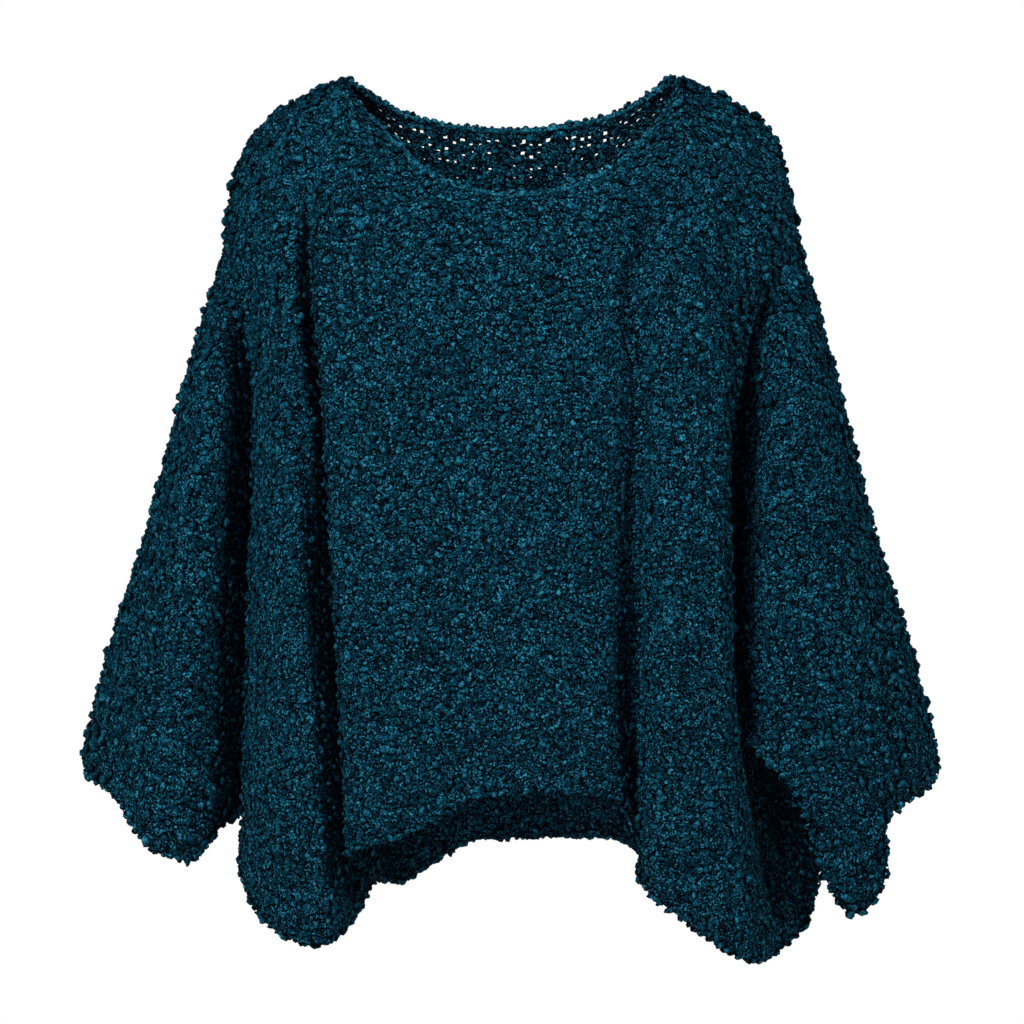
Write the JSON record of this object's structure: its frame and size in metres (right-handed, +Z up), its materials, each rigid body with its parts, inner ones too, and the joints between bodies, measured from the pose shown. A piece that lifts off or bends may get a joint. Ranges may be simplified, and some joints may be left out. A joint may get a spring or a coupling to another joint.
{
  "type": "pullover sweater",
  "caption": "Oversized bobble-knit pullover with a wide boat neck, dropped wide sleeves and an uneven draped hem, hollow and filled out as worn.",
  "frame": {"origin": "middle of the neck opening at the height of the shoulder seams' inner ends, where the garment hangs on its wearer", "axes": "+Z up, -Y towards the front, +X towards the right as the front is seen"},
  "size_m": [0.703, 0.2631, 0.7107],
  "materials": {
    "bobble_knit": "dull looped yarn in teal",
    "rolled_edge": "dull looped yarn in teal, a little lighter"
  },
  "bodies": {
    "root": {"front": "bobble_knit", "back": "bobble_knit", "sleeve_left": "bobble_knit", "sleeve_right": "bobble_knit", "neck_edge": "rolled_edge"}
  },
  "joints": []
}
